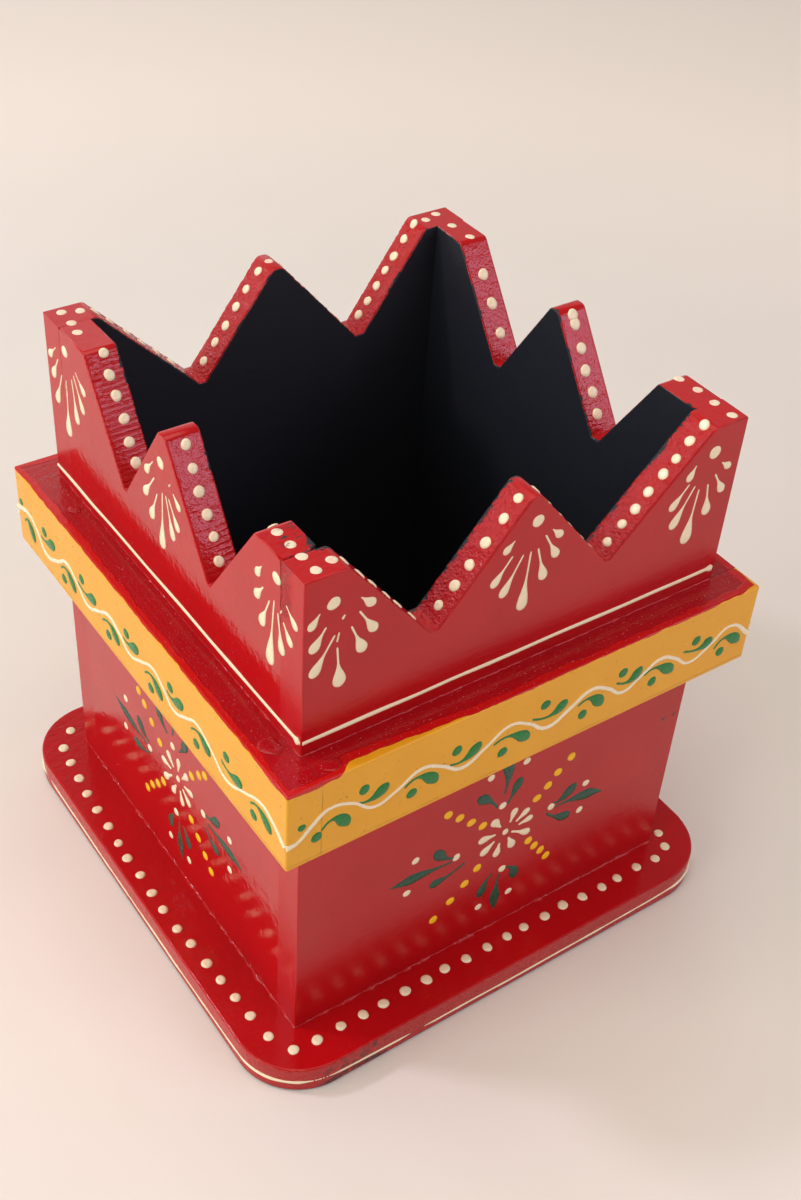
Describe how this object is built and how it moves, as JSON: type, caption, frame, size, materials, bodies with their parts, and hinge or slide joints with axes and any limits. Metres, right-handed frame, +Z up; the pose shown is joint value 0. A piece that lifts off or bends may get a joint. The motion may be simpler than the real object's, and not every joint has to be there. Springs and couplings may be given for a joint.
{
  "type": "tulsi planter box",
  "caption": "Square wooden tulsi planter: open box on a wider rounded foot board, rim sawn to a crown of peaks and notches, raised band of pinwheel strips below it.",
  "frame": {"origin": "middle of the foot board's underside, on the surface the planter stands on", "axes": "+Z up, the front wall faces -Y, the left wall faces -X"},
  "size_m": [0.203, 0.203, 0.212],
  "materials": {
    "red_enamel_board": "board under gloss red enamel, hand brushed",
    "yellow_enamel_board": "board under satin yellow enamel, hand brushed",
    "black_satin_paint": "board under satin black paint, the box's inside",
    "cream_relief_paint": "thick cream relief paint, squeezed from a cone",
    "green_relief_paint": "emerald green relief paint",
    "dark_green_relief_paint": "dark green relief paint",
    "yellow_relief_paint": "golden yellow relief paint",
    "brad_steel": "bright drawn wire",
    "zinc_plated_steel": "zinc plated"
  },
  "bodies": {
    "root": {"base_board": "red_enamel_board", "front_wall": "red_enamel_board", "right_wall": "red_enamel_board", "back_wall": "red_enamel_board", "left_wall": "red_enamel_board", "front_band": "yellow_enamel_board", "right_band": "yellow_enamel_board", "back_band": "yellow_enamel_board", "left_band": "yellow_enamel_board", "front_corner_brads": "brad_steel", "back_corner_brads": "brad_steel", "front_band_brads": "brad_steel", "right_band_brads": "brad_steel", "back_band_brads": "brad_steel", "left_band_brads": "brad_steel", "base_screws": "zinc_plated_steel"}
  },
  "joints": []
}
